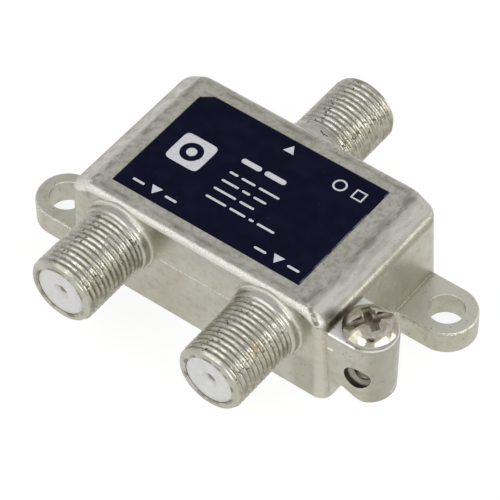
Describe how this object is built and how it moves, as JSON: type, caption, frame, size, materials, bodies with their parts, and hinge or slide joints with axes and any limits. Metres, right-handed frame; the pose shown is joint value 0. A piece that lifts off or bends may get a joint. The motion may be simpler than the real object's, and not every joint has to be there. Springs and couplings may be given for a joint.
{
  "type": "coaxial splitter",
  "caption": "Die-cast coaxial signal splitter with a threaded input port opposite two threaded output ports, fixing ears and an earthing block with a clamp screw.",
  "frame": {"origin": "on the mounting plane, under the middle of the box and between the two fixing ears", "axes": "+Z out of the labelled top, +Y along the input port, +X toward the earthing block's side"},
  "size_m": [0.0576, 0.0476, 0.0155],
  "materials": {
    "plated_casting": "satin nickel plating over zinc, slightly mottled",
    "cover_steel": "satin",
    "label_film": null,
    "screw_steel": "polished nickel plating",
    "white_insulator": "smooth, slightly translucent white",
    "contact_bronze": "satin",
    "board_laminate": "green solder mask",
    "ferrite": "dull dark grey ceramic",
    "copper_wire": "enamelled copper",
    "resistor_body": "dark ceramic with plated ends",
    "capacitor_body": "brown ceramic with plated ends",
    "diode_body": "moulded black",
    "solder": "bright solder"
  },
  "bodies": {
    "casing": {"back_cover": "cover_steel", "choke_core_left": "ferrite", "choke_core_right": "ferrite", "choke_winding_left": "copper_wire", "choke_winding_right": "copper_wire", "circuit_board": "board_laminate", "compensation_capacitor": "capacitor_body", "contact_in": "contact_bronze", "contact_out_left": "contact_bronze", "contact_out_right": "contact_bronze", "coupling_capacitor_in": "capacitor_body", "coupling_capacitor_out_left": "capacitor_body", "coupling_capacitor_out_right": "capacitor_body", "housing": "plated_casting", "hybrid_core": "ferrite", "hybrid_winding": "copper_wire", "insulator_in": "white_insulator", "insulator_out_left": "white_insulator", "insulator_out_right": "white_insulator", "isolation_resistor": "resistor_body", "label": "label_film", "matching_core": "ferrite", "matching_winding": "copper_wire", "solder_joint_in": "solder", "solder_joint_out_left": "solder", "solder_joint_out_right": "solder", "steering_diode_left": "diode_body", "steering_diode_right": "diode_body"},
    "earth_screw": {"ground_screw": "screw_steel"}
  },
  "joints": [
    {"name": "earth_screw_travel", "type": "slide", "parent": "casing", "child": "earth_screw", "axis": [0, 0, 1], "range_m": [0, 0.0042]}
  ]
}
